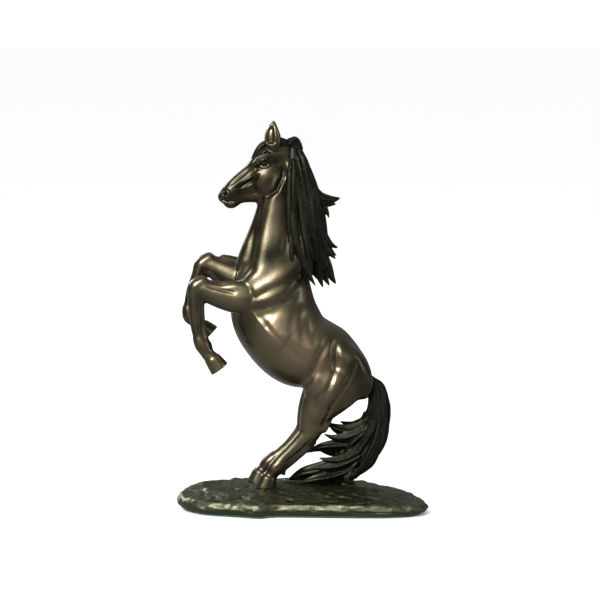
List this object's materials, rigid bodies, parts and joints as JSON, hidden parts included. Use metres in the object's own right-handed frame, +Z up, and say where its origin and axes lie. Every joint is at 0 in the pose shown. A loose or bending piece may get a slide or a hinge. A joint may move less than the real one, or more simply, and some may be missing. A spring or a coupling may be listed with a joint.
{
  "type": "horse statue",
  "caption": "Bronze statue of a horse rearing on its hind legs, with a long mane and a tail that reaches down to an uneven rock base.",
  "frame": {"origin": "middle of the whole object's box in X and Y, on the underside of the felt that it stands on", "axes": "+Z up, the horse faces -X, and the horse's left side is towards -Y"},
  "size_m": [0.189, 0.106, 0.2921],
  "materials": {
    "coat_bronze": "polished bronze under a dark olive-brown patina and clear gloss lacquer, rubbed warmer on the high points",
    "hair_bronze": "bronze with a near-black patina in the chased grooves, gloss lacquer",
    "rock_bronze": "bronze with a dark green-black patina over a rough cast rock texture, gloss lacquer",
    "brazing_brass": "drawn brass rod, bright",
    "zinc_steel": "bright zinc plate",
    "board": "plain hardboard",
    "felt": "dark green wool felt"
  },
  "bodies": {
    "root": {"felt_pad": "felt", "bottom_board": "board", "board_screws": "zinc_steel", "base_casting": "rock_bronze", "body_casting": "coat_bronze", "head_neck_casting": "coat_bronze", "mane_casting": "hair_bronze", "tail_casting": "hair_bronze", "left_foreleg_casting": "coat_bronze", "right_foreleg_casting": "coat_bronze", "left_hindleg_casting": "coat_bronze", "right_hindleg_casting": "coat_bronze", "neck_joint_sleeve": "brazing_brass", "neck_joint_pins": "brazing_brass", "left_foreleg_pin": "brazing_brass", "right_foreleg_pin": "brazing_brass", "left_hindleg_pin": "brazing_brass", "right_hindleg_pin": "brazing_brass", "tail_root_pin": "brazing_brass", "mane_dowels": "brazing_brass", "left_hoof_stud": "zinc_steel", "right_hoof_stud": "zinc_steel", "tail_stud": "zinc_steel", "stud_washers": "zinc_steel", "stud_nuts": "zinc_steel", "core_hole_plugs": "coat_bronze"}
  },
  "joints": []
}
